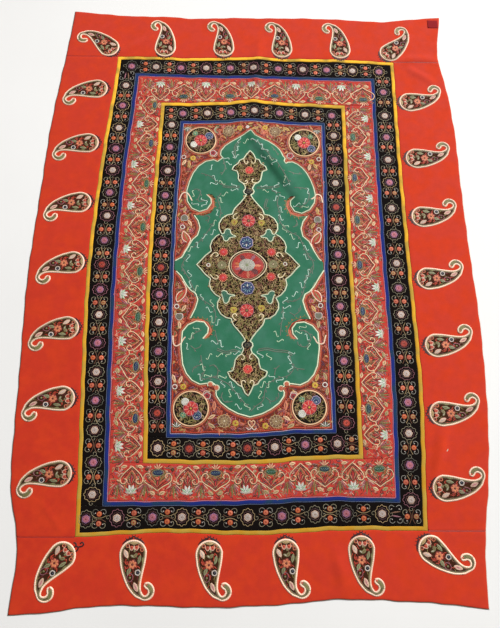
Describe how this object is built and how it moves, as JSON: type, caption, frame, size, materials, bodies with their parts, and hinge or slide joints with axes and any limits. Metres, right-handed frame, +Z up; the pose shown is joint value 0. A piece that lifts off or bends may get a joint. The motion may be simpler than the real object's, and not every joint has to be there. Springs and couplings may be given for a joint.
{
  "type": "embroidered panel",
  "caption": "Rectangular patchwork panel of felted wool on a thin lining, with a lobed medallion, flower bands and a border of botehs; lies flat as a cover.",
  "frame": {"origin": "on the floor, under the middle of the panel's outline", "axes": "+Z up from the face of the cloth, +Y up the length of the panel, away from the viewer in the picture, +X across it to the viewer's right"},
  "size_m": [1.563, 2.221, 0.0128],
  "materials": {
    "lining": "matt plain cotton",
    "red_cloth": "matt felted wool",
    "yellow_cloth": "matt felted wool",
    "black_cloth": "matt felted wool with silk chain stitch",
    "blue_cloth": "matt felted wool",
    "border_cloth": "matt felted wool with dense silk chain stitch",
    "field_cloth": "matt felted wool with dense silk chain stitch",
    "green_cloth": "matt felted wool with silk chain stitch",
    "medallion_cloth": "matt felted wool with dense silk chain stitch",
    "roundel_cloth": "matt felted wool with dense silk chain stitch",
    "boteh_cloth": "matt felted wool with silk chain stitch",
    "patch_cloth": "matt plain cloth"
  },
  "bodies": {
    "root": {"lining": "lining", "red_border_top": "red_cloth", "red_border_right": "red_cloth", "red_border_bottom": "red_cloth", "red_border_left": "red_cloth", "yellow_fillet_outer": "yellow_cloth", "black_band_outer_top": "black_cloth", "black_band_outer_right": "black_cloth", "black_band_outer_bottom": "black_cloth", "black_band_outer_left": "black_cloth", "blue_fillet_outer": "blue_cloth", "main_border_top": "border_cloth", "main_border_right": "border_cloth", "main_border_bottom": "border_cloth", "main_border_left": "border_cloth", "yellow_fillet_inner": "yellow_cloth", "black_band_inner_top": "black_cloth", "black_band_inner_right": "black_cloth", "black_band_inner_bottom": "black_cloth", "black_band_inner_left": "black_cloth", "blue_fillet_inner": "blue_cloth", "field_ground": "field_cloth", "green_cartouche": "green_cloth", "medallion": "medallion_cloth", "roundel_top_left": "roundel_cloth", "roundel_top_right": "roundel_cloth", "roundel_bottom_left": "roundel_cloth", "roundel_bottom_right": "roundel_cloth", "boteh_top_1": "boteh_cloth", "boteh_top_2": "boteh_cloth", "boteh_top_3": "boteh_cloth", "boteh_top_4": "boteh_cloth", "boteh_corner_top_left": "boteh_cloth", "boteh_corner_top_right": "boteh_cloth", "boteh_corner_bottom_left": "boteh_cloth", "boteh_corner_bottom_right": "boteh_cloth", "boteh_left_1": "boteh_cloth", "boteh_left_2": "boteh_cloth", "boteh_left_3": "boteh_cloth", "boteh_left_4": "boteh_cloth", "boteh_left_5": "boteh_cloth", "boteh_left_6": "boteh_cloth", "boteh_left_7": "boteh_cloth", "boteh_bottom_1": "boteh_cloth", "boteh_bottom_2": "boteh_cloth", "boteh_bottom_3": "boteh_cloth", "boteh_bottom_4": "boteh_cloth", "boteh_right_1": "boteh_cloth", "boteh_right_2": "boteh_cloth", "boteh_right_3": "boteh_cloth", "boteh_right_4": "boteh_cloth", "boteh_right_5": "boteh_cloth", "boteh_right_6": "boteh_cloth", "boteh_right_7": "boteh_cloth", "corner_patch": "patch_cloth"}
  },
  "joints": []
}
